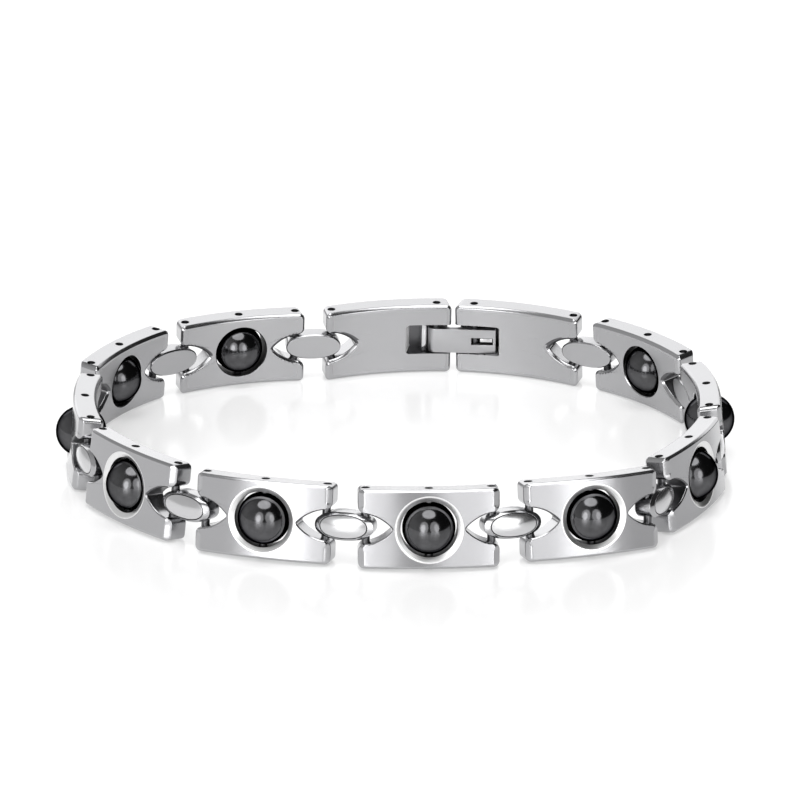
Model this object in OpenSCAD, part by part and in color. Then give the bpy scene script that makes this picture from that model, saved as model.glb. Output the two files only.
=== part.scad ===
// Magnetic bracelet: curved steel plates that hold black magnetic balls, joined by oval connectors,
// with a fold-in clasp at the back. The band lies on its edge as a closed oval loop.
// Millimetres, +Z up, X to the right, the clasp towards +Y, origin under the middle of the loop.
// In a plate's own frame X runs along the band, Y points into the loop and Z runs across the band.

/* [Plates] */
// Length of a plate along the band
plate_len = 15.1; // [14.6:0.1:18]
// Width of the band, from the top edge to the bottom edge
band_w = 8.6; // [8.4:0.1:10]
// Thickness of a plate
plate_t = 2.6; // [2.5:0.1:3.2]
// Radius of the curve that a plate is bent to, at its middle layer
bend_r = 36; // [30:1:60]
// Rounding of a plate's four corners, seen from the front
corner_r = 0.6; // [0.3:0.1:0.8]
// Chamfer along the long edges of the outer face
outer_chamfer = 0.25; // [0.1:0.05:0.35]
// Chamfer along the edges of the inner face
inner_chamfer = 0.3; // [0.05:0.05:0.4]
// Width of the bevel across each end of the outer face
end_bevel_w = 0.6; // [0.3:0.1:0.9]
// Depth of the bevel across each end of the outer face
end_bevel_depth = 0.4; // [0.2:0.1:0.6]
// How far the top of the front plate leans into the loop, in degrees
front_lean_deg = 8.5; // [0:0.5:9]
// How far the tops of the back plates lean into the loop, in degrees
back_lean_deg = 4.5; // [0:0.5:6]

/* [Notches] */
// Width of the pointed notch inside its mouth
notch_w = 3.5; // [3.4:0.05:3.8]
// Metal left between a notch's tip and the ball's hole
web_t = 0.8; // [0.65:0.05:1.1]
// Rounding of the corners at a notch's mouth
mouth_r = 0.8; // [0.3:0.05:0.9]

/* [Balls] */
// Diameter of a ball
ball_d = 5.7; // [5.2:0.1:6]
// Gap all round between a ball and its hole
ball_gap = 0.2; // [0.1:0.05:0.35]
// Width of the polished ring round the hole on the outer face
ring_w = 0.5; // [0.2:0.05:0.55]
// Depth of the polished ring below the crown of the outer face
ring_depth = 0.4; // [0.25:0.05:0.5]

/* [Pins] */
// Diameter of the upright pins
pin_d = 0.9; // [0.8:0.05:1]
// Distance from a plate's end to the axis of its end pin
pin_inset = 0.85; // [0.75:0.05:1.1]
// How far a pin's ends lie below the plate's edges
pin_recess = 0.2; // [0.1:0.05:0.4]
// Gap round a pin where it is pressed into a plate
seat_gap = 0.02; // [0.01:0.01:0.04]
// Play round a pin where a ball or a connector turns on it
pin_play = 0.12; // [0.08:0.01:0.15]

/* [Connectors] */
// Distance between the two pins of a connector
pin_pitch = 4.35; // [4.1:0.05:5]
// How far a connector reaches past its pins
connector_end = 1.05; // [0.9:0.05:1.2]
// Gap between a connector's long edges and the sides of a notch's mouth
notch_play = 0.19; // [0.15:0.01:0.25]
// How far a connector's faces lie below a plate's faces, without the dome
connector_sink = 0.2; // [0.1:0.05:0.4]
// Height of the dome on a connector's outer face
dome_h = 0.35; // [0.1:0.05:0.4]
// Width of the bevel round a connector's outer face
connector_bevel = 0.35; // [0.2:0.05:0.5]
// Chamfer round a connector's inner face
connector_chamfer = 0.15; // [0.05:0.05:0.3]

/* [Clasp] */
// Gap between the two clasp plates at the inner face
clasp_gap = 0.4; // [0.3:0.05:0.8]
// Distance from the hinge plate's clasp end to the hinge pin
hinge_inset = 1.6; // [1.4:0.05:1.9]
// Distance from the catch plate's clasp end to the catch pin
catch_inset = 2; // [1.8:0.05:2.3]
// How far the two clasp pins lie inwards of the plates' middle layer
clasp_pin_in = 0.25; // [0.22:0.01:0.3]
// Length of the pocket in each clasp plate
pocket_len = 5.4; // [5.2:0.1:6]
// Width of the clasp tongue
tongue_w = 3; // [2.8:0.1:3.3]
// Mean gap between the tongue and a pocket's long walls
pocket_play = 0.35; // [0.3:0.05:0.4]
// How far the tongue rests below the middle of its pockets
tongue_drop = 0.2; // [0:0.05:0.2]
// Gap between the knuckle and the pocket's floor
floor_play = 0.1; // [0.05:0.01:0.15]
// Rounding of the pockets' closed corners
pocket_r = 0.5; // [0.2:0.1:0.8]
// Thickness of the tongue's plate
tongue_t = 0.85; // [0.7:0.05:0.95]
// How far the tongue's inner face lies below the inner face of the hinge plate
tongue_sink = 0.05; // [0.02:0.01:0.1]
// Running clearance between the knuckle and the hinge pin
hinge_play = 0.05; // [0.03:0.01:0.08]
// Clearance between the hook and the catch pin
catch_play = 0.15; // [0.12:0.01:0.2]
// Half the length of the hook round the catch pin
hook_half = 1; // [0.9:0.05:1.1]
// How much less than the knuckle the hook reaches towards its pocket's floor
hook_relief = 0.3; // [0.25:0.05:0.4]
// Space between the tongue's tip and the end of its pocket
tip_space = 0.9; // [0.7:0.1:1.1]
// Length of the window in the tongue
window_len = 1.05; // [0.8:0.05:1.2]
// How far the window's middle lies from the catch pin towards the tongue's tip
window_shift = 0.15; // [0:0.05:0.2]
// Width of the window in the tongue
window_w = 0.9; // [0.7:0.05:1.1]
// Width of the slit from the window to the tip
slit_w = 0.86; // [0.6:0.02:0.9]
// Metal left at the tongue's tip past the slit
tip_web = 0.3; // [0.2:0.05:0.4]
// Width of the leaf along the upper side of the slit
leaf_w = 0.42; // [0.3:0.02:0.44]
// Thickness of the two springs
spring_t = 0.3; // [0.25:0.05:0.35]
// Gap between a spring and what stands beside it
spring_gap = 0.08; // [0.05:0.01:0.1]
// Width of the hinge spring's folded edge along the band
hinge_spring_w = 0.55; // [0.5:0.05:0.65]
// How far the hinge spring rises past the hinge pin's axis
hinge_spring_rise = 0.15; // [0:0.05:0.2]

/* [Hidden] */
BALL_LINKS = 10;
LINKS = 12;
// The two clasp plates are those at the back, half-way round from the front one
HINGE = LINKS / 2;
CATCH = HINGE - 1;
// Where each plate heads, seen from above and counter-clockwise from the front one, in degrees:
// plate, and the connector or clasp tongue that follows it
HEADINGS = [
    [3, 20], [18, 65], [64, 85], [95, 104], [130, 152], [161, 177],
    [193, 188], [199, 216], [240, 271], [274, 292], [311, 324], [345, 346]
];
// The numbers of the plates that carry balls, in HEADINGS
CARRIERS = [for (i = [0 : LINKS - 1]) if (i != CATCH && i != HINGE) i];
// The numbers of the plates that a connector follows
JOINTED = [for (i = [0 : LINKS - 1]) if (i != CATCH) i];
CLOSING_STEPS = 12;
FINE = 0.01;
// How far a cutting shape runs past the metal that it cuts
OVER = 1;
// Degrees in a radian
RADIAN = 180 / PI;
// Points round an oval, and steps along a plate where the loop's reach is taken
OUTLINE_POINTS = 32;
// The power in an oval's formula, under 1 for blunter ends than an ellipse has
BLUNTNESS = 0.9;
CURVE_FN = 180;
HOLE_FN = 64;
PIN_FN = 32;

function tag(n) = str(n < 10 ? "0" : "", n);

hole_r = ball_d / 2 + ball_gap;
pin_r = pin_d / 2;
pin_x = plate_len / 2 - pin_inset;
hinge_x = plate_len / 2 - hinge_inset;
catch_x = plate_len / 2 - catch_inset;
notch_depth = plate_len / 2 - hole_r - web_t;
pocket_w = tongue_w + 2 * pocket_play;
knuckle_r = plate_t / 2 - clasp_pin_in - tongue_sink;
pocket_wall = plate_t / 2 + clasp_pin_in - knuckle_r - floor_play;
face_r = bend_r - plate_t / 2;
back_r = bend_r + plate_t / 2;
notch_arc_r = (notch_depth * notch_depth + notch_w * notch_w / 4) / notch_w;
// Half the notch's width where the rounding of its mouth starts
mouth_z = notch_w / 2 - notch_arc_r + sqrt(notch_arc_r * notch_arc_r - mouth_r * mouth_r);
connector_len = pin_pitch + 2 * connector_end;
connector_w = notch_w - 2 * notch_play;
connector_t = plate_t - 2 * connector_sink;

// How far the middle layer of a bent plate lies inwards at a distance u from its middle
function sag(u) = bend_r - sqrt(bend_r * bend_r - u * u);
function turned(p, a) = [p.x * cos(a) - p.y * sin(a), p.x * sin(a) + p.y * cos(a)];
function unit(v) = v / norm(v);
function total(list, i = 0) = i == len(list) ? [0, 0] : list[i] + total(list, i + 1);

// The loop is a walk from pin to pin. These are its corners in each plate's own frame
end_pin = [pin_x, sag(pin_x)];
start_pin = [-pin_x, sag(pin_x)];
hinge_pin = [-hinge_x, sag(hinge_x) + clasp_pin_in];
catch_pin = [catch_x, sag(catch_x) + clasp_pin_in];
inner_corner = [plate_len / 2, sag(plate_len / 2) + plate_t / 2];

function first_pin(i) = i == HINGE ? hinge_pin : start_pin;
function last_pin(i) = i == CATCH ? catch_pin : end_pin;

// The distance between the two clasp pins that leaves the clasp gap at the inner face
function clasp_span(in_turn, out_turn) = clasp_gap
    + turned(inner_corner - catch_pin, in_turn).x
    + turned(inner_corner - [hinge_x, hinge_pin.y], out_turn).x;

// The headings with a small sway added, which closes the loop without a jump
function swayed(a, sway) = a + sway.x * cos(a) + sway.y * sin(a);
function plate_heading(i, sway) = swayed(HEADINGS[i][0], sway);
function joint_heading(i, sway) = swayed(HEADINGS[i][1], sway);
function plate_step(i, sway) = turned(last_pin(i) - first_pin(i), plate_heading(i, sway));
function joint_span(i, sway) = i != CATCH ? pin_pitch : clasp_span(
    plate_heading(i, sway) - joint_heading(i, sway),
    joint_heading(i, sway) - plate_heading(i + 1, sway));
function joint_step(i, sway) = turned([joint_span(i, sway), 0], joint_heading(i, sway));
function opening_left(sway) =
    total([for (i = [0 : LINKS - 1]) plate_step(i, sway) + joint_step(i, sway)]);
loop_len = LINKS * (2 * pin_x + pin_pitch);
function closing_sway(sway, n) = n == 0 ? sway : let (rest = opening_left(sway))
    closing_sway(sway + [-rest.y, rest.x] * 2 * RADIAN / loop_len, n - 1);
sway = closing_sway([0, 0], CLOSING_STEPS);
heading = [for (i = [0 : LINKS - 1]) plate_heading(i, sway)];
function full_step(i) = plate_step(i, sway) + joint_step(i, sway);
walk = [for (i = 0, p = [0, 0]; i < LINKS; p = p + full_step(i), i = i + 1)
    p - turned(first_pin(i), heading[i])];

// The lean goes over smoothly from the front to the back. A plate stands where its inner bottom edge
// meets its rounded corners
lean = [for (a = heading) back_lean_deg + (front_lean_deg - back_lean_deg) * (1 + cos(a)) / 2];
foot_x = plate_len / 2 - corner_r;
foot_r = face_r + inner_chamfer;
foot_y = bend_r - sqrt(foot_r * foot_r - foot_x * foot_x);
stand = [for (a = lean) band_w / 2 * cos(a) + foot_y * sin(a)];
function leaned(p, a) = [p.x, p.y * cos(a) + p.z * sin(a), p.z * cos(a) - p.y * sin(a)];
function placed(i, p) = let (q = leaned(p, lean[i]), r = turned(q, heading[i]) + walk[i])
    [r.x, r.y, q.z + stand[i]];

// The loop's reach to each side, from its balls and from its plates' outer faces
back_step = (plate_len - 2 * end_bevel_w) / OUTLINE_POINTS;
back_places = [for (k = [-OUTLINE_POINTS / 2 : OUTLINE_POINTS / 2]) k * back_step];
back_points = [for (i = [0 : LINKS - 1], u = back_places, side = [-1, 1])
    placed(i, [u, sag(u) - plate_t / 2, side * (band_w / 2 - outer_chamfer)])];
ball_points = [for (i = CARRIERS, v = [[1, 0], [-1, 0], [0, 1], [0, -1]])
    placed(i, [0, 0, 0]) + [v.x, v.y, 0] * ball_d / 2];
reach = concat(back_points, ball_points);
centre = [
    (min([for (p = reach) p.x]) + max([for (p = reach) p.x])) / 2,
    (min([for (p = reach) p.y]) + max([for (p = reach) p.y])) / 2
];
function spot(i, p) = placed(i, p) - [centre.x, centre.y, 0];
function upright(i) = placed(i, [0, 0, 1]) - placed(i, [0, 0, 0]);

module at_plate(i) {
    translate([walk[i].x - centre.x, walk[i].y - centre.y, stand[i]])
        rotate([0, 0, heading[i]]) rotate([-lean[i], 0, 0]) children();
}

// A frame whose X runs from one point to another and whose Z is as near as it can be to an axis
module at_frame(origin, from, to, axis) {
    z = unit(axis);
    along = to - from;
    x = unit(along - z * (along * z));
    y = cross(z, x);
    multmatrix([
        [x.x, y.x, z.x, origin.x], [x.y, y.y, z.y, origin.y], [x.z, y.z, z.z, origin.z], [0, 0, 0, 1]
    ]) children();
}

module at_connector(i) {
    next = (i + 1) % LINKS;
    a = spot(i, [last_pin(i).x, last_pin(i).y, 0]);
    b = spot(next, [first_pin(next).x, first_pin(next).y, 0]);
    at_frame((a + b) / 2, a, b, upright(i) + upright(next)) children();
}

// The tongue runs from the hinge pin at its origin to the catch pin towards -X, and shares out the
// small skew between the two pins, but its bore follows the hinge pin exactly
hinge_at = spot(HINGE, [hinge_pin.x, hinge_pin.y, 0]);
catch_at = spot(CATCH, [catch_pin.x, catch_pin.y, 0]);
clasp_reach = norm(hinge_at - catch_at);
module at_tongue() at_frame(hinge_at, catch_at, hinge_at, upright(HINGE) + upright(CATCH))
    translate([0, 0, -tongue_drop]) children();
module at_hinge() at_frame(hinge_at, catch_at, hinge_at, upright(HINGE)) children();

// Shapes that look along Y: a cylinder and a box whose Y runs from one depth to another
module across_y(r, y0, y1, fn = HOLE_FN, r2 = undef) translate([0, y0, 0]) rotate([-90, 0, 0])
    cylinder(r1 = r, r2 = is_undef(r2) ? r : r2, h = y1 - y0, $fn = fn);

module block(x0, x1, y0, y1, z0, z1)
    translate([x0, y0, z0]) cube([x1 - x0, y1 - y0, z1 - z0]);

// The bent strip that every plate is cut from, with its long edges chamfered
module strip() {
    h = band_w / 2;
    translate([0, bend_r, 0]) rotate_extrude($fn = CURVE_FN * 2) polygon([
        [face_r, inner_chamfer - h], [face_r + inner_chamfer, -h], [back_r - outer_chamfer, -h],
        [back_r, outer_chamfer - h], [back_r, h - outer_chamfer], [back_r - outer_chamfer, h],
        [face_r + inner_chamfer, h], [face_r, h - inner_chamfer]
    ]);
}

// What is cut off outside a rounded corner: X and Z point away from the plate
module corner_cut(r) difference() {
    block(-r, OVER, -plate_t, 2 * plate_t, -r, OVER);
    translate([-r, 0, -r]) across_y(r, -plate_t - OVER, 2 * plate_t + OVER);
}

// The end of a plate at +X: its corners, its outer bevel and its small inner chamfer
module end_cuts() {
    end_x = plate_len / 2;
    for (side = [-1, 1]) scale([1, 1, side])
        translate([end_x, 0, band_w / 2]) corner_cut(corner_r);
    outer_y = sag(end_x) - plate_t / 2;
    inner_y = sag(end_x) + plate_t / 2;
    slope = atan2(end_bevel_depth, end_bevel_w);
    translate([end_x, outer_y + end_bevel_depth, 0]) rotate([0, 0, slope])
        block(-plate_t, plate_t, -plate_t, 0, -band_w, band_w);
    translate([end_x, inner_y - inner_chamfer, 0]) rotate([0, 0, -45])
        block(-plate_t, plate_t, 0, plate_t, -band_w, band_w);
}

// The pointed notch at the +X end, and the rounding of its mouth
module notch() {
    end_x = plate_len / 2;
    off = notch_arc_r - notch_w / 2;
    intersection() {
        translate([end_x, 0, off]) across_y(notch_arc_r, -plate_t, 2 * plate_t, CURVE_FN);
        translate([end_x, 0, -off]) across_y(notch_arc_r, -plate_t, 2 * plate_t, CURVE_FN);
        block(0, end_x + OVER, -plate_t, 2 * plate_t, -notch_w, notch_w);
    }
    for (side = [-1, 1]) scale([1, 1, side]) translate([end_x, 0, mouth_z]) difference() {
        block(-mouth_r, OVER, -plate_t, 2 * plate_t, -notch_w / 4, mouth_r);
        translate([-mouth_r, 0, mouth_r]) across_y(mouth_r, -plate_t - OVER, 2 * plate_t + OVER);
    }
}

// An upright bore of a given play round a pin
module bore(x, y, play) translate([x, y, -band_w]) cylinder(r = pin_r + play, h = 2 * band_w, $fn = PIN_FN);

module pin(p) {
    half = band_w / 2 - pin_recess;
    translate([p.x, p.y, -half]) cylinder(r = pin_r, h = 2 * half, $fn = PIN_FN);
}

module plate_blank() intersection() {
    strip();
    block(-plate_len / 2, plate_len / 2, -plate_t, 2 * plate_t, -band_w, band_w);
}

// A plate with a ball's hole in its middle and a notch at each end
module link(i) color("silver") at_plate(i) difference() {
    plate_blank();
    for (end = [1, -1]) scale([end, 1, 1]) {
        end_cuts();
        notch();
    }
    across_y(hole_r, -plate_t, plate_t);
    across_y(hole_r + 2 * ring_w, -plate_t / 2 - ring_depth, ring_depth - plate_t / 2, r2 = hole_r);
    for (p = [start_pin, [0, 0], end_pin]) bore(p.x, p.y, seat_gap);
}

module ball(i) color([0.1, 0.1, 0.11]) at_plate(i) difference() {
    sphere(d = ball_d, $fn = HOLE_FN);
    bore(0, 0, pin_play);
}

module link_pins(i) color("gainsboro") at_plate(i) {
    for (p = [start_pin, [0, 0], end_pin]) pin(p);
}

// An oval slab of a given length and width between two depths
function blunt(x) = sign(x) * pow(abs(x), BLUNTNESS);
function oval(l, w) = [for (k = [0 : OUTLINE_POINTS - 1]) let (a = k * 360 / OUTLINE_POINTS)
    [l / 2 * blunt(cos(a)), w / 2 * blunt(sin(a))]];
module oval_slab(l, w, y0, y1)
    translate([0, y1, 0]) rotate([90, 0, 0]) linear_extrude(y1 - y0) polygon(oval(l, w));

// A pillow-shaped connector with a domed outer face, bored for the two pins that it turns on
module connector(i) color("silver") at_connector(i) difference() {
    b = 2 * connector_bevel;
    c = 2 * connector_chamfer;
    half = connector_t / 2;
    hull() {
        oval_slab(connector_len - c, connector_w - c, half - FINE, half);
        oval_slab(connector_len, connector_w, -half + connector_bevel, half - connector_chamfer);
        oval_slab(connector_len - 2 * b, connector_w - b, -half, -half + FINE);
        oval_slab((connector_len - 2 * b) / 2, (connector_w - b) / 2, -half - dome_h, -half);
    }
    for (side = [-1, 1]) bore(side * pin_pitch / 2, 0, pin_play);
}

// A pocket milled from the inner face at the -X end, with a floor that follows the bend
module pocket() intersection() {
    translate([0, bend_r, -band_w]) cylinder(r = back_r - pocket_wall, h = 2 * band_w, $fn = CURVE_FN * 2);
    union() {
        end_x = -plate_len / 2;
        far = end_x + pocket_len;
        h = pocket_w / 2;
        block(end_x - OVER, far - pocket_r, -plate_t, 2 * plate_t, -h, h);
        block(far - 2 * pocket_r, far, -plate_t, 2 * plate_t, pocket_r - h, h - pocket_r);
        for (side = [-1, 1]) translate([far - pocket_r, 0, side * (h - pocket_r)])
            across_y(pocket_r, -plate_t, 2 * plate_t, PIN_FN);
    }
}

// A clasp plate whose clasp end is at -X: a pocket there, a notch at the other end
module clasp_plate(clasp_pin) difference() {
    plate_blank();
    for (end = [1, -1]) scale([end, 1, 1]) end_cuts();
    notch();
    pocket();
    bore(end_pin.x, end_pin.y, seat_gap);
    bore(clasp_pin.x, clasp_pin.y, seat_gap);
}

module hinge_link() color("silver") at_plate(HINGE) clasp_plate(hinge_pin);

module catch_link() color("silver") at_plate(CATCH) mirror([1, 0, 0])
    clasp_plate([-catch_pin.x, catch_pin.y]);

module hinge_link_pins() color("gainsboro") at_plate(HINGE) {
    pin(hinge_pin);
    pin(end_pin);
}

module catch_link_pins() color("gainsboro") at_plate(CATCH) {
    pin(catch_pin);
    pin(start_pin);
}

// The tongue: a plate with a knuckle round the hinge pin and a hook over the catch pin
tip_x = -(clasp_reach + pocket_len - catch_inset - tip_space);
window_x = -clasp_reach - window_shift - window_len / 2;
module clasp_tongue() color("silver") difference() {
    h = tongue_w / 2;
    deep = 2 * knuckle_r;
    seat_r = pin_r + catch_play;
    at_tongue() difference() {
        union() {
            block(tip_x, 0, knuckle_r - tongue_t, knuckle_r, -h, h);
            translate([0, 0, -h]) cylinder(r = knuckle_r, h = tongue_w, $fn = HOLE_FN);
            block(-clasp_reach - hook_half, -clasp_reach + hook_half,
                hook_relief - knuckle_r, knuckle_r - tongue_t / 2, -h, h);
        }
        bore(-clasp_reach, 0, catch_play);
        block(-clasp_reach - seat_r, -clasp_reach + seat_r, -deep, 0, -band_w, band_w);
        block(window_x, window_x + window_len, -deep, deep, -window_w / 2, window_w / 2);
        block(tip_x + tip_web, window_x + FINE, -deep, deep, -slit_w / 2, slit_w / 2);
    }
    at_hinge() bore(0, 0, hinge_play);
}

// A leaf in the tongue's slit, beside the catch pin
module catch_spring() color("white") at_tongue() {
    inner = knuckle_r - spring_gap;
    top = slit_w / 2 - spring_gap;
    block(tip_x + tip_web + spring_gap, window_x, inner - spring_t, inner, top - leaf_w, top);
}

// A folded leaf that stands in the hinge plate's pocket behind the knuckle
module hinge_spring() color("white") at_plate(HINGE) {
    x0 = -hinge_x + knuckle_r + 2 * spring_gap;
    x1 = x0 + hinge_spring_w;
    floor_y = sag(x0) - plate_t / 2 + pocket_wall + spring_gap / 2;
    h = pocket_w / 2 - spring_gap;
    block(x0, x1, floor_y, hinge_pin.y + hinge_spring_rise, -h, h);
}

for (i = [0 : BALL_LINKS - 1]) {
    link(CARRIERS[i]);
    ball(CARRIERS[i]);
    link_pins(CARRIERS[i]);
}
for (i = [0 : LINKS - 2])
    connector(JOINTED[i]);
hinge_link();
catch_link();
hinge_link_pins();
catch_link_pins();
clasp_tongue();
catch_spring();
hinge_spring();
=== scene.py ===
"""A magnetic bracelet: curved steel plates with black magnetic balls, oval connectors and a fold-in clasp.

Shapes are worked out in millimetres in each piece's own frame, where X runs along the band, Y points into
the loop and Z runs across the band. The plates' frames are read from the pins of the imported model.
"""

import math

import bmesh
import bpy
import numpy as np
from mathutils import Matrix


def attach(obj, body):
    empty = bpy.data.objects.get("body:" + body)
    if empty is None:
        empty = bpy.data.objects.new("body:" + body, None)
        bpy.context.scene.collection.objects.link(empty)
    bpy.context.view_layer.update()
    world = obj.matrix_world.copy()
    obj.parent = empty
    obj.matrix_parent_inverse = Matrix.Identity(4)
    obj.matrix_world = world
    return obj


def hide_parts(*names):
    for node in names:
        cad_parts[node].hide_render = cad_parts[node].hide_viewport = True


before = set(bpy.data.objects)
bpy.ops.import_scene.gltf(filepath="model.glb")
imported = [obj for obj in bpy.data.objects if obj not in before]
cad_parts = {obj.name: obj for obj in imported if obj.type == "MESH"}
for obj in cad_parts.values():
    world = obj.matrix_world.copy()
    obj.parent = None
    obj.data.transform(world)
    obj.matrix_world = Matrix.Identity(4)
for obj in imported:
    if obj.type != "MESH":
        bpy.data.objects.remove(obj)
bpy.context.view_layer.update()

MM = 0.001
FLOOR_SIZE = 12.0

# Plates
PLATE_LEN = 15.1
BAND_W = 8.6
PLATE_T = 2.6
BEND_R = 36.0
CORNER_R = 0.6
END_BEVEL_W = 0.6
END_BEVEL_DEPTH = 0.4
FOLD_R = 0.2
EDGE_BEVEL = 0.25
INNER_BEVEL = 0.3
NOTCH_BEVEL = 0.12
NOTCH_W = 3.5
NOTCH_DEPTH = 3.7
MOUTH_R = 0.8
TIP_BLUNT = 0.08
HOLE_R = 3.05
RING_W = 0.5
RING_DEPTH = 0.3
HOLE_BEVEL = 0.1

# Pins and balls
PIN_R = 0.45
PIN_INSET = 0.85
PIN_RECESS = 0.2
NUB_TOP_R = 0.13
NUB_R = 0.24
NUB_H = 0.35
NUB_EASE = 0.05
BORE_R = 0.47
BALL_R = 2.85
TURNING_BORE_R = 0.57

# Connectors
PIN_PITCH = 4.35
CONNECTOR_LEN = 6.45
CONNECTOR_W = 3.12
CONNECTOR_T = 2.2
CONNECTOR_BEVEL = 0.35
CONNECTOR_CHAMFER = 0.15
DOME_H = 0.35
GROOVE_W = 0.12
GROOVE_DEPTH = 0.12
FLAT_SHARE = 0.8
OVAL_EASE = 0.03

# Clasp
HINGE_INSET = 1.6
CATCH_INSET = 2.0
CLASP_PIN_IN = 0.25
POCKET_LEN = 5.4
POCKET_W = 3.7
POCKET_R = 0.5
POCKET_WALL = 0.45
POCKET_RAMP = 0.9
POCKET_PAST = 1.0
POCKET_LIP = 0.02
FACE_START = -2.5

# Steps of the curves
SIDE_STEPS = 24
LIP_STEPS = 13
WALL_STEPS = 7
CORNER_STEPS = 9
EDGE_STEPS = 17
BALL_FACE_STEPS = 8
CLASP_FACE_STEPS = 18
EASE_STEPS = 4
DOME_STEPS = 13
BACK_STEPS = 7
POCKET_SIDE_STEPS = 24
POCKET_END_STEPS = 6
POCKET_CORNER_STEPS = 8
BALL_ROWS = 72
BALL_SIDES = 96
BORE_SIDES = 32
PIN_SIDES = 24
OVAL_SIDES = 128
CARVED_SEGMENTS = 2

# Shares, angles in degrees and tolerances
CARVED_ANGLE = 50
SHARP_ANGLE = 35
SOFTNESS = 0.25
RING_SOFTNESS = 0.2
EASE_SHARE = 0.9
NEAR_RIM = 0.99
NEAR_RIM_RISE = 0.02
ACROSS = 0.8
BLUNTNESS = 0.9
MERGE_WITHIN = 0.00001
FACE_WITHIN = 0.0015

END_X = PLATE_LEN / 2
PIN_X = END_X - PIN_INSET
HINGE_X = END_X - HINGE_INSET
CATCH_X = END_X - CATCH_INSET
BACK_R = BEND_R + PLATE_T / 2
FACE_R = BEND_R - PLATE_T / 2


# Shape helpers


def sag(u):
    """How far the bent middle layer lies inwards at u: the bend's radius less its circle's height there."""
    return BEND_R - np.sqrt(BEND_R**2 - u**2)


def outer_face(u):
    """Depth of the outer face at u, on a circle half a thickness larger than the bend."""
    return BEND_R - np.sqrt(BACK_R**2 - u**2)


def inner_face(u):
    """Depth of the inner face at u, on a circle half a thickness smaller than the bend."""
    return BEND_R - np.sqrt(FACE_R**2 - u**2)


def unit(v):
    """Vectors divided by their lengths."""
    return v / np.linalg.norm(v, axis=-1, keepdims=True)


def arc(centre, radius, start, end, count):
    """Points on a circle from one angle to another, in degrees, at even steps."""
    a = np.radians(np.linspace(start, end, count))
    return np.stack([centre[0] + radius * np.cos(a), centre[1] + radius * np.sin(a)], -1)


def line(start, end, count):
    """Points at even steps from one point to another, without the first and the last."""
    t = np.linspace(0, 1, count + 2)[1:-1, None]
    return np.array(start) * (1 - t) + np.array(end) * t


def eased(corners, reach):
    """A polyline with its inner corners rounded, each by a quadratic curve that starts and ends a reach
    off."""
    corners = np.array(corners, float)
    corner = corners[1:-1]
    start = corner + unit(corners[:-2] - corner) * reach
    end = corner + unit(corners[2:] - corner) * reach
    t = np.linspace(0, 1, EASE_STEPS + 1)[:, None, None]
    curve = (1 - t) ** 2 * start + 2 * t * (1 - t) * corner + t**2 * end
    curve = curve.transpose(1, 0, 2).reshape(-1, corners.shape[1])
    return np.concatenate([corners[:1], curve, corners[-1:]])


def bevel_profile(softness):
    """A bevel as shares of its width and depth, from (1, 0) on the face to (0, 1) on the wall, with eased
    corners."""
    return eased([(1 + softness, 0), (1, 0), (0, 1), (0, 1 + softness)], softness * EASE_SHARE)


def smooth_step(t):
    """Three times the square less twice the cube: a share that starts and ends level."""
    t = np.clip(t, 0, 1)
    return t * t * (3 - 2 * t)


# Mesh helpers


def grid_mesh(name, points, wrap, zones=None):
    """A mesh from a grid of points (rows, columns, 3): quads between neighbours, closed round the rows, and
    round the columns too where wrap says so. Points that meet at a pole are merged. zones gives each column's
    material."""
    rows, columns = points.shape[:2]
    i, j = np.meshgrid(np.arange(rows), np.arange(columns if wrap else columns - 1), indexing="ij")
    i2 = (i + 1) % rows
    j2 = (j + 1) % columns
    quads = np.stack([i * columns + j, i2 * columns + j, i2 * columns + j2, i * columns + j2], -1)
    mesh = bpy.data.meshes.new(name)
    mesh.from_pydata(points.reshape(-1, 3).tolist(), [], quads.reshape(-1, 4).tolist())
    if zones is not None:
        mesh.polygons.foreach_set("material_index", np.array(zones)[j.ravel()])
    tidy(mesh)
    return mesh


def tidy(mesh):
    """Merges points that meet and turns every face outwards."""
    form = bmesh.new()
    form.from_mesh(mesh)
    bmesh.ops.remove_doubles(form, verts=form.verts, dist=MERGE_WITHIN)
    bmesh.ops.recalc_face_normals(form, faces=form.faces)
    form.to_mesh(mesh)
    form.free()


def turned_mesh(name, profile, axis_at, count, zones=None):
    """A profile of (radius, height) turned round an upright axis at (x, y)."""
    a = np.linspace(0, 2 * np.pi, count, endpoint=False)[:, None]
    r, h = np.array(profile, float).T
    x = axis_at[0] + r * np.cos(a)
    y = axis_at[1] + r * np.sin(a)
    return grid_mesh(name, np.stack([x, y, np.broadcast_to(h, x.shape)], -1), False, zones)


def joined(name, meshes):
    """Several meshes as one, each a loose part of it."""
    form = bmesh.new()
    for mesh in meshes:
        form.from_mesh(mesh)
    whole = bpy.data.meshes.new(name)
    form.to_mesh(whole)
    form.free()
    return whole


def shown(mesh):
    """An object that holds a mesh, linked to the scene."""
    thing = bpy.data.objects.new(mesh.name, mesh)
    bpy.context.scene.collection.objects.link(thing)
    return thing


def carved(mesh, tools, looks, edge=0.0):
    """The mesh with the tools' shapes taken away, each cut with its tool's material, and its edges bevelled
    by a given width."""
    for part in [mesh, *tools]:
        for look in looks:
            part.materials.append(look)
    blank = shown(mesh)
    cutters = [shown(tool) for tool in tools]
    for cutter in cutters:
        cut = blank.modifiers.new("cut", "BOOLEAN")
        cut.operation = "DIFFERENCE"
        cut.solver = "EXACT"
        cut.object = cutter
    if edge:
        bevel = blank.modifiers.new("edge", "BEVEL")
        bevel.width = edge
        bevel.segments = CARVED_SEGMENTS
        bevel.limit_method = "ANGLE"
        bevel.angle_limit = math.radians(CARVED_ANGLE)
    made = bpy.data.meshes.new_from_object(blank.evaluated_get(bpy.context.evaluated_depsgraph_get()))
    made.name = mesh.name
    for thing in [blank, *cutters]:
        bpy.data.objects.remove(thing)
    return made


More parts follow.
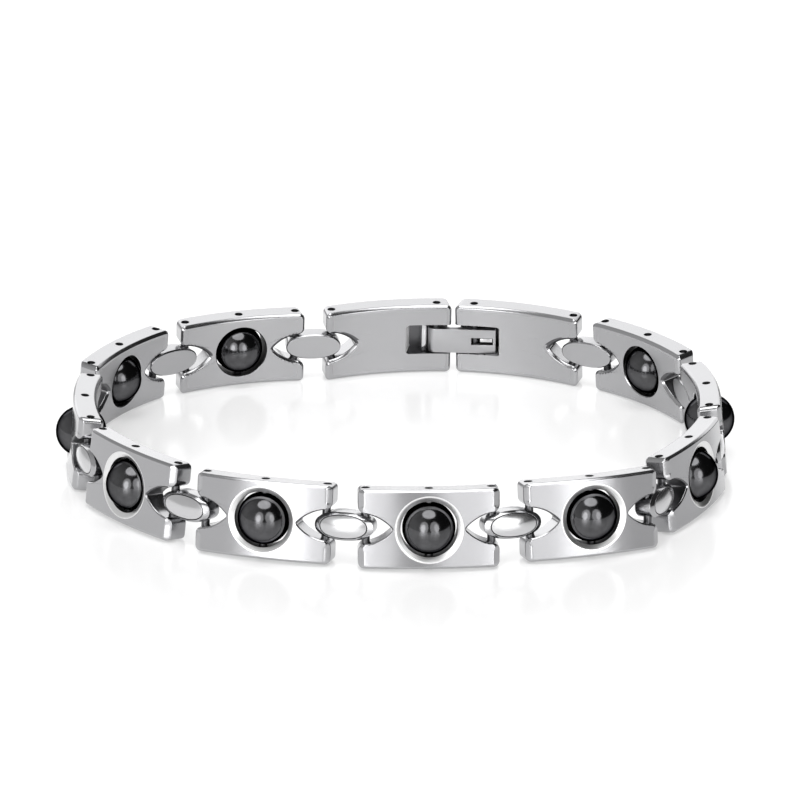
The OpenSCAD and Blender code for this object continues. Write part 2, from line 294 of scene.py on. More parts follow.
def points_of(mesh):
    """A mesh's points as an array."""
    found = np.empty(len(mesh.vertices) * 3, np.float32)
    mesh.vertices.foreach_get("co", found)
    return found.reshape(-1, 3).astype(float)


# The plates' frames


def pin_centres(node):
    """The axes (rows X, Y, Z) and the pins' centres of a node of parallel pins, in mm. The spread of the
    points gives the axes: the widest pair is along the band and up, and Y points to the middle of the
    loop."""
    v = points_of(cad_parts[node].data) / MM
    middle = v.mean(0)
    spread = np.linalg.svd(v - middle, full_matrices=False)[2][:2]
    z, x = spread[np.argsort(-np.abs(spread[:, 2]))]
    z = z * np.sign(z[2])
    y = np.cross(z, x)
    if y @ middle > 0:
        x, y = -x, -y
    axes = np.stack([x, y, z])
    local = (v - middle) @ axes.T
    local = local[np.argsort(local[:, 0])]
    gaps = np.nonzero(np.diff(local[:, 0]) > PIN_R)[0] + 1
    centres = [(part.min(0) + part.max(0)) / 2 for part in np.split(local, gaps)]
    return axes, middle + np.array(centres) @ axes


def pinned_frame(node, first, last):
    """A plate's frame, as its axes and origin, from where its first and last pins are in it and in the
    model."""
    axes, centres = pin_centres(node)
    run = unit(centres[-1] - centres[0])
    side = np.cross(axes[2], run)
    a = math.atan2(last[1] - first[1], last[0] - first[0])
    x = run * math.cos(a) - side * math.sin(a)
    y = run * math.sin(a) + side * math.cos(a)
    return np.stack([x, y, axes[2]]), centres[0] - first[0] * x - first[1] * y


def spanning_frame(start, end, upright):
    """A frame half-way between two pins: X runs from one to the other, and Z is as near as it can be to
    upright."""
    z = unit(upright)
    along = end - start
    x = unit(along - z * (along @ z))
    return np.stack([x, np.cross(z, x), z]), (start + end) / 2


def place(mesh, axes, origin):
    """Moves a mesh from a piece's own frame, in mm, to the model's, in metres."""
    turn = Matrix(axes.T.tolist()).to_4x4()
    mesh.transform(Matrix.Diagonal((MM, MM, MM, 1)) @ Matrix.Translation(origin.tolist()) @ turn)
    return mesh


# Materials


def node_at(tree, kind, **inputs):
    """A shader node with its sockets set by name."""
    node = tree.nodes.new(kind)
    for name, value in inputs.items():
        node.inputs[name.replace("_", " ")].default_value = value
    return node


def metal(name, colour, rough, swing, grain, depth, stretch):
    """A steel whose roughness swings about a value with a soft noise. The grain is a noise of a given scale,
    raised to a given depth and stretched along the piece's own X."""
    look = bpy.data.materials.new(name)
    look.use_nodes = True
    tree = look.node_tree
    shader = tree.nodes["Principled BSDF"]
    shader.inputs["Base Color"].default_value = (*colour, 1)
    shader.inputs["Metallic"].default_value = 1.0
    place_map = tree.nodes.new("ShaderNodeUVMap")
    place_map.uv_map = "along"
    lines = node_at(tree, "ShaderNodeMapping", Scale=stretch)
    tree.links.new(place_map.outputs["UV"], lines.inputs["Vector"])
    fine = node_at(tree, "ShaderNodeTexNoise", Scale=grain, Detail=3.0, Roughness=0.6)
    tree.links.new(lines.outputs["Vector"], fine.inputs["Vector"])
    cloud = node_at(tree, "ShaderNodeTexNoise", Scale=0.35, Detail=2.0, Roughness=0.5)
    tree.links.new(place_map.outputs["UV"], cloud.inputs["Vector"])
    both = node_at(tree, "ShaderNodeMath")
    both.operation = "ADD"
    tree.links.new(fine.outputs["Fac"], both.inputs[0])
    tree.links.new(cloud.outputs["Fac"], both.inputs[1])
    spread = tree.nodes.new("ShaderNodeMapRange")
    spread.inputs["From Min"].default_value = 0.6
    spread.inputs["From Max"].default_value = 1.4
    spread.inputs["To Min"].default_value = rough - swing
    spread.inputs["To Max"].default_value = rough + swing
    tree.links.new(both.outputs["Value"], spread.inputs["Value"])
    tree.links.new(spread.outputs["Result"], shader.inputs["Roughness"])
    bump = node_at(tree, "ShaderNodeBump", Strength=depth, Distance=0.00002)
    tree.links.new(fine.outputs["Fac"], bump.inputs["Height"])
    tree.links.new(bump.outputs["Normal"], shader.inputs["Normal"])
    return look


def black_stone():
    """Polished black magnetic stone with the lustre of a dark metal: it reflects a tenth of the light and
    less at its rim, with faint clouds in its polish."""
    look = bpy.data.materials.new("black_magnetic_stone")
    look.use_nodes = True
    tree = look.node_tree
    shader = tree.nodes["Principled BSDF"]
    shader.inputs["Metallic"].default_value = 1.0
    shader.inputs["Specular Tint"].default_value = (0.1, 0.1, 0.1, 1)
    where = tree.nodes.new("ShaderNodeTexCoord")
    cloud = node_at(tree, "ShaderNodeTexNoise", Scale=900.0, Detail=3.0, Roughness=0.6)
    tree.links.new(where.outputs["Object"], cloud.inputs["Vector"])
    tint = tree.nodes.new("ShaderNodeValToRGB")
    tint.color_ramp.elements[0].position = 0.35
    tint.color_ramp.elements[0].color = (0.085, 0.085, 0.088, 1)
    tint.color_ramp.elements[1].position = 0.7
    tint.color_ramp.elements[1].color = (0.115, 0.115, 0.12, 1)
    tree.links.new(cloud.outputs["Fac"], tint.inputs["Fac"])
    tree.links.new(tint.outputs["Color"], shader.inputs["Base Color"])
    polish = tree.nodes.new("ShaderNodeMapRange")
    polish.inputs["To Min"].default_value = 0.1
    polish.inputs["To Max"].default_value = 0.17
    tree.links.new(cloud.outputs["Fac"], polish.inputs["Value"])
    tree.links.new(polish.outputs["Result"], shader.inputs["Roughness"])
    return look


EVEN, FINE, LONG, BRUSHED = (1.0, 1.0, 1.0), (1.0, 3.0, 1.0), (1.0, 6.0, 1.0), (0.6, 12.0, 1.0)
POLISHED = metal("polished_steel", (0.4, 0.4, 0.41), 0.16, 0.04, grain=9.0, depth=0.05, stretch=LONG)
MIRROR = metal("mirror_steel", (0.66, 0.66, 0.67), 0.09, 0.03, grain=6.0, depth=0.02, stretch=EVEN)
CHROME = metal("soft_chrome", (0.62, 0.62, 0.63), 0.24, 0.04, grain=6.0, depth=0.02, stretch=EVEN)
# The ring round a ball's hole is a paler copy of the plate's steel: painted light, so that it reads as lit
# white.
RING_PAINTED_LIGHT = metal("painted_light_ring", (0.8, 0.8, 0.8), 0.32, 0.04, grain=8.0, depth=0.02, stretch=EVEN)
EDGE = metal("edge_steel", (0.43, 0.43, 0.44), 0.18, 0.04, grain=8.0, depth=0.04, stretch=FINE)
SATIN = metal("satin_steel", (0.45, 0.45, 0.46), 0.36, 0.06, grain=10.0, depth=0.25, stretch=BRUSHED)
# Near-black steel for the walls of the balls' holes and the pins' shoulders: painted shade, standing in for
# the dark gaps there.
DEEP_SHADE = metal("painted_deep_shade_steel", (0.03, 0.03, 0.03), 0.5, 0.05, grain=8.0, depth=0.05, stretch=EVEN)
# A darker copy of the steel for the upper notch walls, the bores, the clasp pocket's floor and sides, the
# pins' shafts and the connectors' groove: painted shade.
SHADE = metal("painted_shade_steel", (0.13, 0.13, 0.135), 0.34, 0.06, grain=8.0, depth=0.1, stretch=EVEN)
# A pale, very rough copy of the steel for the clasp pocket's end walls: painted light.
PAINTED_LIGHT = metal("painted_light_steel", (0.9, 0.9, 0.9), 0.85, 0.05, grain=8.0, depth=0.05, stretch=EVEN)
STONE = black_stone()
PLATE_LOOKS = [POLISHED, RING_PAINTED_LIGHT, EDGE, SATIN, DEEP_SHADE, SHADE, PAINTED_LIGHT]
OUTER, RING, WALL, INNER, HOLE, PAINTED_SHADE, POCKET_END = range(7)


def finish(mesh, looks, bent=True):
    """Gives a mesh in its own frame its materials, a map that runs along the band, smooth shading with sharp
    edges past an angle, and on a bent plate the exact directions of its two curved faces."""
    if len(mesh.materials) == 0:
        for look in looks:
            mesh.materials.append(look)
    mesh.polygons.foreach_set("use_smooth", np.ones(len(mesh.polygons), bool))
    mesh.set_sharp_from_angle(angle=math.radians(SHARP_ANGLE))
    v = points_of(mesh)
    corner = np.empty(len(mesh.loops), np.int32)
    mesh.loops.foreach_get("vertex_index", corner)
    if "along" not in mesh.uv_layers:
        mesh.uv_layers.new(name="along")
    mesh.uv_layers["along"].data.foreach_set("uv", v[corner][:, [0, 2]].astype(np.float32).ravel())
    if bent:
        aim = np.zeros((len(corner), 3))
        out = v[corner] - np.array([0, BEND_R, 0])
        out[:, 2] = 0
        reach = np.linalg.norm(out, axis=1)
        size = np.empty(len(mesh.polygons), np.int32)
        mesh.polygons.foreach_get("loop_total", size)
        face = np.repeat(np.arange(len(size)), size)
        for radius, sign in ((BACK_R, 1), (FACE_R, -1)):
            near = np.abs(reach - radius) < FACE_WITHIN
            whole = np.ones(len(size), bool)
            np.logical_and.at(whole, face, near)
            picked = whole[face]
            aim[picked] = sign * out[picked] / reach[picked, None]
        mesh.normals_split_custom_set(aim.tolist())
    return mesh


def add_piece(name, mesh, axes, origin, body, slot, *nodes):
    """A finished piece: its own copy of a mesh, put in its place, riding on a body and standing for CAD
    nodes."""
    copy = mesh.copy()
    copy.name = name
    piece = shown(place(copy, axes, origin))
    piece.name = name
    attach(piece, body)
    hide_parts(*nodes)
    return piece


# Ball plates and clasp plates


def end_outline(notched):
    """A quarter of a plate's outline, from the middle of its +X end to the middle of its upper edge. Its
    columns are x, z, the x and z of the line where the outer bevel meets the face, and the bevel's depth. A
    notch's side is an arc that would meet its mirror image at the tip. Its mouth is rounded by a quarter
    circle, over which the bevel widens. Round the plate's corner the bevel's two lines are quarter circles of
    their own radii."""
    top = BAND_W / 2
    if notched:
        radius = (NOTCH_DEPTH**2 + NOTCH_W**2 / 4) / NOTCH_W
        off = radius - NOTCH_W / 2
        tip = math.degrees(math.atan2(off, -NOTCH_DEPTH))
        mouth = math.degrees(math.acos(-MOUTH_R / radius))
        side = arc((END_X, -off), radius, tip, mouth, SIDE_STEPS)
        side_fold = arc((END_X, -off), radius + NOTCH_BEVEL, tip, mouth, SIDE_STEPS)
        side[0, 0] += TIP_BLUNT
        side_fold[0] = side[0] - [NOTCH_BEVEL, 0]
        low = side[-1, 1] + MOUTH_R
        growth = smooth_step(np.linspace(0, 1, LIP_STEPS))[:, None]
        lip_r = MOUTH_R - NOTCH_BEVEL - (END_BEVEL_W - NOTCH_BEVEL) * growth
        lip = arc((END_X - MOUTH_R, low), MOUTH_R, -90, 0, LIP_STEPS)
        lip_fold = [END_X - MOUTH_R, low] + arc((0, 0), 1, -90, 0, LIP_STEPS) * lip_r
        start = [side, lip[1:]]
        start_fold = [side_fold, lip_fold[1:]]
        growth = np.append(np.zeros(SIDE_STEPS), growth[1:])
        start_depth = NOTCH_BEVEL + (END_BEVEL_DEPTH - NOTCH_BEVEL) * growth
    else:
        low = 0.0
        start = [np.array([[END_X, 0.0]])]
        start_fold = [np.array([[END_X - END_BEVEL_W, 0.0]])]
        start_depth = [END_BEVEL_DEPTH]
    wall = line((END_X, low), (END_X, top - CORNER_R), WALL_STEPS)
    corner = arc((END_X - CORNER_R, top - CORNER_R), CORNER_R, 0, 90, CORNER_STEPS)
    edge = line((END_X - CORNER_R, top), (0, top), EDGE_STEPS)
    fold_x, fold_z = END_X - END_BEVEL_W, top - EDGE_BEVEL
    wall_fold = line((fold_x, low), (fold_x, fold_z - FOLD_R), WALL_STEPS)
    corner_fold = arc((fold_x - FOLD_R, fold_z - FOLD_R), FOLD_R, 0, 90, CORNER_STEPS)
    edge_fold = line((fold_x - FOLD_R, fold_z), (0, fold_z), EDGE_STEPS)
    points = np.concatenate([*start, wall, corner, edge, [[0, top]]])
    folds = np.concatenate([*start_fold, wall_fold, corner_fold, edge_fold, [[0, fold_z]]])
    fall = [np.zeros(WALL_STEPS), smooth_step(np.linspace(0, 1, CORNER_STEPS)), np.ones(EDGE_STEPS + 1)]
    end_depth = END_BEVEL_DEPTH + (EDGE_BEVEL - END_BEVEL_DEPTH) * np.concatenate(fall)
    return np.concatenate([points, folds, np.append(start_depth, end_depth)[:, None]], 1)


def plate_outline(left_notched):
    """A plate's whole outline, counter-clockwise from its +X tip: points, outward directions, the bevel's
    line on the face and its depths. The lower half mirrors the upper one. A direction is the mean of those of
    the two sides that meet."""
    left = end_outline(left_notched) * [-1, 1, -1, 1, 1]
    upper = np.concatenate([end_outline(True), left[::-1][1:]])
    whole = np.concatenate([upper, (upper * [1, -1, 1, -1, 1])[::-1][1:-1]])
    loop, fold, depth = whole[:, :2], whole[:, 2:4], whole[:, 4:]
    ahead = unit(np.roll(loop, -1, 0) - loop)
    along = unit(ahead + np.roll(ahead, 1, 0))
    return loop, np.stack([along[:, 1], -along[:, 0]], -1), fold, depth


def plate_points(loop, outward, fold, depth, starts, face_steps, hole_r):
    """The grid of a plate: a section (columns) carried round its outline (rows). It runs over the outer face
    from a start loop to the bevel, down the wall, round the inner edge and back over the inner face to its
    own start loop. The faces are blends of a start loop and a bevel's line, lifted onto the plate's two bent
    surfaces."""
    soft = bevel_profile(SOFTNESS)
    share, drop = soft[:, 0], soft[:, 1]
    fill = np.linspace(0, 1, face_steps + 2)[1:-1]

    def lifted(flat, surface, depths):
        return np.stack([flat[..., 0], surface(flat[..., 0]) + depths, flat[..., 1]], -1)

    def rim(reach):
        return loop[:, None] + reach[:, None] * share[:, None]

    outer_rim, inner_rim = rim(fold - loop), rim(-outward * INNER_BEVEL)
    outer = lifted(outer_rim, outer_face, depth * drop)
    inner = lifted(inner_rim, inner_face, -INNER_BEVEL * drop)[:, ::-1]
    spans = []
    edges = (outer_rim[:, 0], outer_face), (inner_rim[:, 0], inner_face)
    for start, (edge_line, surface) in zip(starts, edges):
        flat = start[:, None] * (1 - fill)[:, None] + edge_line[:, None] * fill[:, None]
        spans.append(lifted(flat, surface, 0.0))
    columns = [spans[0], outer, inner, spans[1][:, ::-1]]
    zones = [OUTER] * face_steps + [WALL] * (len(soft) * 2) + [INNER] * face_steps
    if hole_r is None:
        first = lifted(starts[0], outer_face, 0.0)[:, None]
        last = lifted(starts[1], inner_face, 0.0)[:, None]
        return np.concatenate([first, *columns, last], 1), [OUTER, *zones, INNER]
    ray = unit(loop)[:, None]

    def round_hole(profile, bevel_w, bevel_depth, surface):
        return lifted(ray * (hole_r + bevel_w * profile[:, 0])[:, None], surface, bevel_depth * profile[:, 1])

    crisp = np.append(eased([(1 + SOFTNESS, 0), (1, 0), (0, 1)], RING_SOFTNESS), [[0, 1 + SOFTNESS]], 0)
    ring = round_hole(crisp, RING_W, RING_DEPTH, outer_face)[:, ::-1]
    back = round_hole(soft, HOLE_BEVEL, -HOLE_BEVEL, inner_face)
    # The ring round the hole is painted light, and the hole's wall is painted deep shade.
    ring_zones = [HOLE] + [RING] * (len(crisp) - 2) + [OUTER]
    back_zones = [INNER] + [WALL] * (len(soft) - 1) + [HOLE]
    return np.concatenate([ring, *columns, back], 1), ring_zones + zones[:-1] + back_zones


def bores(places, radius):
    """Upright drills as one tool: closed cylinders at the given (x, y) places."""
    half = BAND_W
    profile = [(0, half), (radius, half), (radius, -half), (0, -half)]
    return joined("drills", [turned_mesh("drill", profile, p, BORE_SIDES) for p in places])


def set_zone(mesh, zone):
    """Marks every face of a tool with the material that its cut shows."""
    mesh.polygons.foreach_set("material_index", np.full(len(mesh.polygons), zone))
    return mesh


def shade_notches(mesh):
    """Paints shade on the upper walls inside a plate's notches, which face down: those of its walls that lie
    above the middle of its width, within the notch's width, and past the hole."""
    count = len(mesh.polygons)
    zone = np.empty(count, np.int32)
    mesh.polygons.foreach_get("material_index", zone)
    middle = np.empty(count * 3, np.float32)
    mesh.polygons.foreach_get("center", middle)
    x, z = middle.reshape(-1, 3)[:, [0, 2]].T
    along = (np.abs(x) > HOLE_R + RING_W) & (np.abs(x) < END_X - MOUTH_R / 2)
    inside = (zone == WALL) & (z > 0) & (z < NOTCH_W / 2) & along
    mesh.polygons.foreach_set("material_index", np.where(inside, PAINTED_SHADE, zone))
    return mesh


def ball_plate():
    """A plate with a polished ring round its hole, painted lighter than the steel, and a notch at each end,
    drilled for its three pins.
    """
    outline = plate_outline(True)
    ray = unit(outline[0])
    starts = [ray * (HOLE_R + width * (1 + SOFTNESS)) for width in (RING_W, HOLE_BEVEL)]
    points, zones = plate_points(*outline, starts, BALL_FACE_STEPS, HOLE_R)
    blank = shade_notches(grid_mesh("ball_plate", points, True, zones))
    # The bores are cut with painted shade.
    drill = bores([(-PIN_X, sag(PIN_X)), (0, 0), (PIN_X, sag(PIN_X))], BORE_R)
    return finish(carved(blank, [set_zone(drill, PAINTED_SHADE)], PLATE_LOOKS), PLATE_LOOKS)


def pocket_tool():
    """The clasp pocket's shape at the -X end: an outline with two rounded corners, raised from the bent
    floor, where it is shorter so that its end is a ramp. The floor is a circle round the bend's centre, at
    the depth that leaves the wall behind the pocket."""
    half = POCKET_W / 2
    far = -END_X + POCKET_LEN
    start = -END_X - POCKET_PAST
    sides = [
        line((start, -half), (far - POCKET_R, -half), POCKET_SIDE_STEPS),
        arc((far - POCKET_R, -half + POCKET_R), POCKET_R, -90, 0, POCKET_CORNER_STEPS),
        line((far, -half + POCKET_R), (far, half - POCKET_R), POCKET_END_STEPS),
        arc((far - POCKET_R, half - POCKET_R), POCKET_R, 0, 90, POCKET_CORNER_STEPS),
        line((far - POCKET_R, half), (start, half), POCKET_SIDE_STEPS),
    ]
    loop = np.concatenate([[(start, -half)], *sides, [(start, half)]])
    flat = np.array([start, 0]) + (loop - [start, 0]) * np.array([[[0.0]], [[0.5]], [[1.0]]])
    foot = start + (flat[..., 0] - start) * (1 - POCKET_RAMP / (far - start))
    floor = BEND_R - np.sqrt((BACK_R - POCKET_WALL) ** 2 - foot**2)
    low = np.stack([foot, floor, flat[..., 1]], -1)
    lip = np.stack([loop[:, 0], inner_face(loop[:, 0]) + POCKET_LIP, loop[:, 1]], -1)
    high = np.stack([flat[..., 0], np.full(floor.shape, 2 * PLATE_T), flat[..., 1]], -1)
    tool = grid_mesh("pocket", np.concatenate([low, lip[None], high[::-1]]).transpose(1, 0, 2), False)
    # The pocket's end walls are painted light, and its floor and sides painted shade.
    facing = np.empty(len(tool.polygons) * 3, np.float32)
    tool.polygons.foreach_get("normal", facing)
    across = facing.reshape(-1, 3)[:, 0] > ACROSS
    tool.polygons.foreach_set("material_index", np.where(across, POCKET_END, PAINTED_SHADE))
    return tool


def clasp_plate(first, last):
    """A plate without a ball: a notch at +X, the clasp's pocket at -X, and bores for its two pins."""
    outline = plate_outline(False)
    start = np.tile([FACE_START, 0.0], (len(outline[0]), 1))
    points, zones = plate_points(*outline, (start, start), CLASP_FACE_STEPS, None)
    blank = shade_notches(grid_mesh("clasp_plate", points, False, zones))
    # The pocket's cut takes painted shade and painted light from its tool, and the bores painted shade.
    tools = [pocket_tool(), set_zone(bores([first, last], BORE_R), PAINTED_SHADE)]
    return finish(carved(blank, tools, PLATE_LOOKS), PLATE_LOOKS)


def mirrored(mesh):
    """A plate's mesh mirrored along the band, with its faces turned outwards again and the exact directions
    of its curved faces set anew."""
    other = mesh.copy()
    other.transform(Matrix.Diagonal((-1, 1, 1, 1)))
    other.flip_normals()
    return finish(other, PLATE_LOOKS)


# Balls, pins and connectors


def ball():
    """A sphere bored through: its profile is an arc from the bore's upper rim to the lower one, and the
    bore."""
    rim = math.degrees(math.acos(TURNING_BORE_R / BALL_R))
    profile = arc((0, 0), BALL_R, rim, -rim, BALL_ROWS)
    closed = np.concatenate([profile, profile[:1]])
    return finish(turned_mesh("ball", closed, (0, 0), BALL_SIDES), [STONE], bent=False)


def plate_pins(places):
    """Upright pins: straight, with a shoulder at each end round a small domed nub that shows in its
    recess."""
    top = BAND_W / 2 - PIN_RECESS
    foot = top - NUB_H
    upper = eased([(0, top), (NUB_TOP_R, top), (NUB_R, foot), (PIN_R, foot), (PIN_R, 0)], NUB_EASE)
    profile = np.concatenate([upper, upper[::-1][1:] * [1, -1]])
    radius = (profile[:-1, 0] + profile[1:, 0]) / 2
    height = np.abs(profile[:-1, 1] + profile[1:, 1]) / 2
    # The shoulders round the nubs are painted deep shade, and the shafts painted shade.
    nub, shoulder, shaft = range(3)
    ends = np.where(radius > NUB_R - NUB_EASE, shoulder, nub)
    zones = np.where(height < foot - 3 * NUB_EASE, shaft, ends)
    pins = [turned_mesh("pin", profile, p, PIN_SIDES, zones) for p in places]
    return finish(joined("pins", pins), [EDGE, DEEP_SHADE, SHADE], bent=False)


def connector():
    """A pillow-shaped oval: a section carried round blunt ovals. The dome falls with the square of the
    distance from its middle, then come a fine groove, a bevelled ring, the side wall and the flat inner
    face."""
    half = CONNECTOR_T / 2
    a, b = CONNECTOR_LEN / 2, CONNECTOR_W / 2
    a_in, b_in = a - 2 * CONNECTOR_BEVEL, b - CONNECTOR_BEVEL
    rho = np.linspace(0, 1, DOME_STEPS + 1)[:-1]
    dome = np.stack([rho * a_in, rho * b_in, -half - DOME_H * (1 - rho**2)], -1)
    rim = eased(
        [
            (a_in * NEAR_RIM, b_in * NEAR_RIM, -half - DOME_H * NEAR_RIM_RISE),
            (a_in, b_in, -half),
            (a_in + GROOVE_W / 2, b_in + GROOVE_W / 2, -half + GROOVE_DEPTH),
            (a_in + GROOVE_W, b_in + GROOVE_W, -half),
            (a, b, -half + CONNECTOR_BEVEL),
            (a, b, half - CONNECTOR_CHAMFER),
            (a - CONNECTOR_CHAMFER, b - CONNECTOR_CHAMFER, half),
            (a * FLAT_SHARE, b * FLAT_SHARE, half),
        ],
        OVAL_EASE,
    )
    back = np.linspace(FLAT_SHARE, 0, BACK_STEPS + 1)[1:, None] * [a, b, 0] + [0, 0, half]
    section = np.concatenate([dome, rim, back])
    angle = np.linspace(0, 2 * np.pi, OVAL_SIDES, endpoint=False)[:, None]
    x = section[:, 0] * blunt(np.cos(angle))
    z = section[:, 1] * blunt(np.sin(angle))
    grid = np.stack([x, np.broadcast_to(section[:, 2], x.shape), z], -1)
    # The groove and the pin bores are painted shade.
    looks = [CHROME, EDGE, SATIN, SHADE]
    outer, wall, inner, groove = range(4)
    corner = EASE_STEPS + 1
    zones = [outer] * (DOME_STEPS + 2) + [groove] * 2 * corner + [outer] * 3 + [wall] * 3 * corner
    zones += [inner] * (BACK_STEPS + 1)
    blank = grid_mesh("connector", grid, False, zones)
    drill = bores([(-PIN_PITCH / 2, 0), (PIN_PITCH / 2, 0)], TURNING_BORE_R)
    return finish(carved(blank, [set_zone(drill, groove)], looks), looks, bent=False)


def blunt(c):
    """A cosine raised to a power below one with its sign kept: ovals get blunter ends than an ellipse's."""
    return np.sign(c) * np.abs(c) ** BLUNTNESS


def dressed_node(node, looks, edge, body, slot):
    """A CAD node's own shape with its points merged and its edges rounded."""
    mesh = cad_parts[node].data.copy()
    mesh.name = node + "_form"
    mesh.materials.clear()
    mesh.transform(Matrix.Scale(1 / MM, 4))
    tidy(mesh)
    made = carved(mesh, [], looks, edge)
    finish(made, looks, bent=False)
    return add_piece(node + "_piece", made, np.eye(3), np.zeros(3), body, slot, node)


# The bracelet, piece by piece

BALL_NODES = [str(n).zfill(2) for n in range(1, 11)]
BEFORE_CLASP = 5
END_PIN = (PIN_X, sag(PIN_X))
START_PIN = (-PIN_X, sag(PIN_X))
HINGE_PIN = (-HINGE_X, sag(HINGE_X) + CLASP_PIN_IN)
CATCH_PIN = (CATCH_X, sag(CATCH_X) + CLASP_PIN_IN)

frames = [pinned_frame("pins_" + n, START_PIN, END_PIN) for n in BALL_NODES]
catch_frame = pinned_frame("catch_link_pins", START_PIN, CATCH_PIN)
hinge_frame = pinned_frame("hinge_link_pins", HINGE_PIN, END_PIN)
chain = [*frames[:BEFORE_CLASP], catch_frame, hinge_frame, *frames[BEFORE_CLASP:]]

plate_mesh = ball_plate()
ball_mesh = ball()
pins_mesh = plate_pins([START_PIN, (0, 0), END_PIN])
connector_mesh = connector()
for n, (axes, origin) in zip(BALL_NODES, frames):
    add_piece("plate_" + n, plate_mesh, axes, origin, "band", "plates", "link_" + n)
    add_piece("magnet_ball_" + n, ball_mesh, axes, origin, "band", "balls", "ball_" + n)
    add_piece("plate_pins_" + n, pins_mesh, axes, origin, "band", "pins", "pins_" + n)

hinge_mesh = clasp_plate(HINGE_PIN, END_PIN)
catch_mesh = mirrored(clasp_plate((-CATCH_PIN[0], CATCH_PIN[1]), END_PIN))
add_piece("hinge_plate", hinge_mesh, *hinge_frame, "band", "plates", "hinge_link")
add_piece("catch_plate", catch_mesh, *catch_frame, "band", "plates", "catch_link")
hinge_pins = plate_pins([HINGE_PIN, END_PIN])
catch_pins = plate_pins([START_PIN, CATCH_PIN])
add_piece("hinge_plate_pins", hinge_pins, *hinge_frame, "band", "pins", "hinge_link_pins")
add_piece("catch_plate_pins", catch_pins, *catch_frame, "band", "pins", "catch_link_pins")

joints = [i for i in range(len(chain)) if chain[i] is not catch_frame]
for count, i in enumerate(joints):
    (axes_a, at_a), (axes_b, at_b) = chain[i], chain[(i + 1) % len(chain)]
    start = at_a + END_PIN[0] * axes_a[0] + END_PIN[1] * axes_a[1]
    end = at_b + START_PIN[0] * axes_b[0] + START_PIN[1] * axes_b[1]
    node = "connector_" + str(count + 1).zfill(2)
    spot = spanning_frame(start, end, axes_a[2] + axes_b[2])
    add_piece("oval_" + node, connector_mesh, *spot, "band", "connectors", node)

dressed_node("clasp_tongue", [SATIN], 0.05, "tongue", "tongue")
dressed_node("catch_spring", [MIRROR], 0.03, "tongue", "springs")
dressed_node("hinge_spring", [MIRROR], 0.05, "band", "springs")


# Floor, light and camera


def pale_floor():
    """A plain pale glossy floor, lit faintly from below, with a faint mottle."""
    look = bpy.data.materials.new("pale_floor")
    look.use_nodes = True
    tree = look.node_tree
    shader = tree.nodes["Principled BSDF"]
    shader.inputs["Roughness"].default_value = 0.16
    shader.inputs["IOR"].default_value = 1.5
    shader.inputs["Emission Color"].default_value = (1, 1, 1, 1)
    shader.inputs["Emission Strength"].default_value = 0.38
    where = tree.nodes.new("ShaderNodeTexCoord")
    cloud = node_at(tree, "ShaderNodeTexNoise", Scale=3.0, Detail=2.0)
    tree.links.new(where.outputs["Object"], cloud.inputs["Vector"])
    tint = tree.nodes.new("ShaderNodeValToRGB")
    tint.color_ramp.elements[0].color = (0.64, 0.64, 0.64, 1)
    tint.color_ramp.elements[1].color = (0.66, 0.66, 0.66, 1)
    tree.links.new(cloud.outputs["Fac"], tint.inputs["Fac"])
    tree.links.new(tint.outputs["Color"], shader.inputs["Base Color"])
    half = FLOOR_SIZE / 2
    mesh = bpy.data.meshes.new("floor")
    corners = [(-half, -half, 0), (half, -half, 0), (half, half, 0), (-half, half, 0)]
    mesh.from_pydata(corners, [], [(0, 1, 2, 3)])
    mesh.materials.append(look)
    floor = shown(mesh)


def soft_light(name, azimuth, elevation, distance, width, height, glow):
    """An oval soft light that faces the bracelet. Azimuth 0 is straight in front of it, and glow is its
    radiance."""
    a, e = math.radians(azimuth), math.radians(elevation)
    lamp = bpy.data.lights.new(name, "AREA")
    lamp.shape = "ELLIPSE"
    lamp.size = width
    lamp.size_y = height
    lamp.energy = glow * math.pi * (math.pi / 4 * width * height)
    thing = bpy.data.objects.new(name, lamp)
    bpy.context.scene.collection.objects.link(thing)
    away = np.array([math.sin(a) * math.cos(e), -math.cos(a) * math.cos(e), math.sin(e)])
    thing.location = away * distance
    thing.rotation_euler = (math.pi / 2 - e, 0, a)


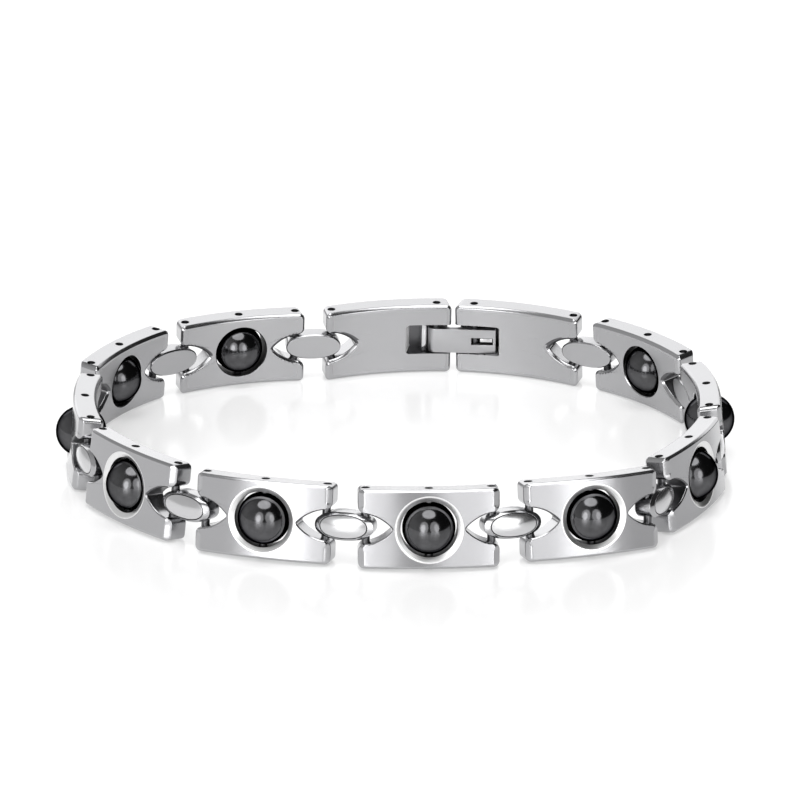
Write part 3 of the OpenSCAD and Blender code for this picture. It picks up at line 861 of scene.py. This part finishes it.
def studio():
    """Two tall soft lights beside the camera, each with a brighter core, one overhead, a lit backdrop, and a
    room that is paler on the left."""
    soft_light("left_light", azimuth=-21, elevation=17, distance=0.9, width=0.58, height=0.86, glow=1.9)
    soft_light("left_core", azimuth=-24, elevation=15, distance=0.88, width=0.3, height=0.5, glow=3.2)
    soft_light("right_light", azimuth=26, elevation=17, distance=0.9, width=0.62, height=0.86, glow=1.9)
    soft_light("right_core", azimuth=34, elevation=15, distance=0.88, width=0.3, height=0.5, glow=2.0)
    soft_light("top_light", azimuth=0, elevation=79, distance=0.9, width=0.8, height=0.7, glow=3.4)
    soft_light("back_light", azimuth=180, elevation=24, distance=0.9, width=1.6, height=0.7, glow=1.5)
    world = bpy.data.worlds.new("room")
    bpy.context.scene.world = world
    world.use_nodes = True
    tree = world.node_tree
    room = tree.nodes["Background"]
    room.inputs["Color"].default_value = (1, 1, 1, 1)
    where = tree.nodes.new("ShaderNodeTexCoord")
    parts = tree.nodes.new("ShaderNodeSeparateXYZ")
    side = tree.nodes.new("ShaderNodeMapRange")
    side.inputs["From Min"].default_value = 0.25
    side.inputs["From Max"].default_value = -0.9
    side.inputs["To Min"].default_value = 0.03
    side.inputs["To Max"].default_value = 0.62
    tree.links.new(where.outputs["Generated"], parts.inputs["Vector"])
    tree.links.new(parts.outputs["X"], side.inputs["Value"])
    tree.links.new(side.outputs["Result"], room.inputs["Strength"])


def camera():
    """The camera at the photograph's angle: its place in mm, its tilt, turn and roll in degrees and its
    lens."""
    place_mm = np.array([3.06, -495.1, 192.1])
    pitch, yaw, roll = np.radians([20.423, 0.313, 0.341])
    frame_px, focal_px, sensor = 800, 4717, 36.0
    cam = bpy.data.cameras.new("camera")
    cam.sensor_width = sensor
    cam.lens = focal_px / frame_px * sensor
    cam.clip_start, cam.clip_end = 0.01, 50
    thing = bpy.data.objects.new("camera", cam)
    bpy.context.scene.collection.objects.link(thing)
    forward = np.array([-math.sin(yaw) * math.cos(pitch), math.cos(yaw) * math.cos(pitch), -math.sin(pitch)])
    level = np.array([math.cos(yaw), math.sin(yaw), 0.0])
    over = np.cross(level, forward)
    right = level * math.cos(roll) + over * math.sin(roll)
    up = over * math.cos(roll) - level * math.sin(roll)
    turn = Matrix(np.stack([right, up, -forward], 1).tolist()).to_4x4()
    thing.matrix_world = Matrix.Translation((place_mm * MM).tolist()) @ turn
    bpy.context.scene.camera = thing


pale_floor()
studio()
camera()
bpy.context.scene.view_settings.view_transform = "Standard"
